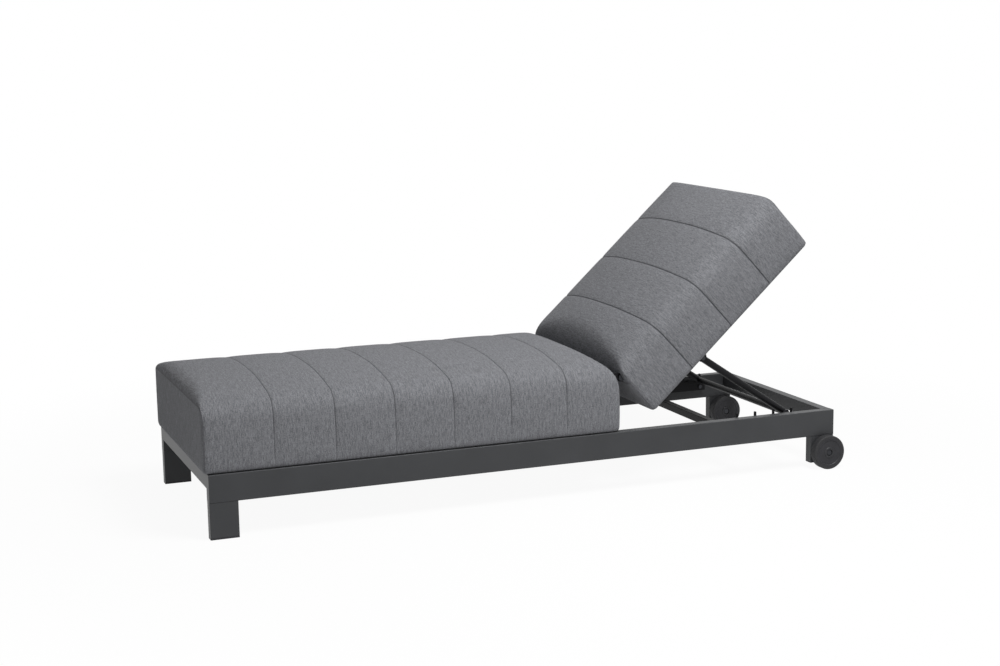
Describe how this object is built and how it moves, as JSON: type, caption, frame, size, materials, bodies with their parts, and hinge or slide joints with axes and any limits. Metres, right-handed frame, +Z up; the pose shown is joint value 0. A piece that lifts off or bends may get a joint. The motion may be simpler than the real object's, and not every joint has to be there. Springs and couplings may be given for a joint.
{
  "type": "reclining sun lounger",
  "caption": "Upholstered sun lounger: thick panelled seat and hinged backrest on a low tubular frame, backrest propped on notched racks, wheels at the head end",
  "frame": {"origin": "On the floor under the middle of the whole lounger's box, the backrest raised as in the picture", "axes": "+X from the foot end to the head end, +Y from the near rail to the far rail, +Z up"},
  "size_m": [2.036, 0.737, 0.8733],
  "materials": {
    "grey_outdoor_fabric": "woven melange outdoor fabric over foam",
    "charcoal_frame": "fine matt powder coat",
    "black_plastic": "moulded",
    "black_rubber": "matt",
    "zinc_steel": "zinc plated",
    "plywood": "dark stained board"
  },
  "bodies": {
    "frame": {"axle_bolts": "zinc_steel", "axle_nuts": "zinc_steel", "axle_spacers": "zinc_steel", "deck_rivets": "zinc_steel", "foot_rail": "charcoal_frame", "front_glide_far": "black_plastic", "front_glide_near": "black_plastic", "front_leg_far": "charcoal_frame", "front_leg_near": "charcoal_frame", "head_rail": "charcoal_frame", "hinge_nuts": "zinc_steel", "hinge_pins": "zinc_steel", "hinge_washers": "zinc_steel", "rack_bolts": "zinc_steel", "rack_far": "charcoal_frame", "rack_near": "charcoal_frame", "rack_spacers": "zinc_steel", "rail_end_plates": "charcoal_frame", "rear_cross_tube": "charcoal_frame", "rear_leg_caps": "black_plastic", "rear_leg_far": "charcoal_frame", "rear_leg_near": "charcoal_frame", "seat_cross_tube_1": "charcoal_frame", "seat_cross_tube_2": "charcoal_frame", "seat_cross_tube_3": "charcoal_frame", "seat_cross_tube_4": "charcoal_frame", "seat_cushion": "grey_outdoor_fabric", "seat_deck": "charcoal_frame", "seat_hinge_bolts": "zinc_steel", "seat_hinge_plate_far": "charcoal_frame", "seat_hinge_plate_near": "charcoal_frame", "side_rail_far": "charcoal_frame", "side_rail_near": "charcoal_frame"},
    "backrest": {"back_board": "plywood", "back_cross_tube_lower": "charcoal_frame", "back_cross_tube_upper": "charcoal_frame", "back_cushion": "grey_outdoor_fabric", "back_hinge_bolts": "zinc_steel", "back_hinge_plate_far": "charcoal_frame", "back_hinge_plate_near": "charcoal_frame", "back_side_tube_far": "charcoal_frame", "back_side_tube_near": "charcoal_frame", "board_screws": "zinc_steel", "bracket_screws": "zinc_steel", "hinge_bushes": "black_plastic", "prop_bracket_far": "charcoal_frame", "prop_bracket_near": "charcoal_frame", "prop_clips": "zinc_steel", "prop_pins": "zinc_steel"},
    "prop": {"prop_arm_far": "charcoal_frame", "prop_arm_near": "charcoal_frame", "prop_bar": "charcoal_frame", "prop_bar_caps": "black_plastic"},
    "wheel_near": {"wheel_bush_near": "black_plastic", "wheel_disc_near": "black_plastic", "wheel_tyre_near": "black_rubber"},
    "wheel_far": {"wheel_bush_far": "black_plastic", "wheel_disc_far": "black_plastic", "wheel_tyre_far": "black_rubber"}
  },
  "joints": [
    {"name": "backrest_recline", "type": "hinge", "parent": "frame", "child": "backrest", "pos_m": [0.2653, 0.0105, 0.347], "axis": [0, -1, 0], "range_deg": [-42.4, 27.3]},
    {"name": "prop_swing", "type": "hinge", "parent": "backrest", "child": "prop", "pos_m": [0.55042, 0.0105, 0.37985], "axis": [0, -1, 0], "range_deg": [-49.24, 76.42]},
    {"name": "wheel_spin_near", "type": "hinge", "parent": "frame", "child": "wheel_near", "pos_m": [0.964, -0.3555, 0.054], "axis": [0, 1, 0], "continuous": true},
    {"name": "wheel_spin_far", "type": "hinge", "parent": "frame", "child": "wheel_far", "pos_m": [0.964, 0.3145, 0.054], "axis": [0, 1, 0], "continuous": true}
  ],
  "couplings": [
    {"joint": "prop_swing", "follows": "backrest_recline", "ratio": -1.8}
  ]
}
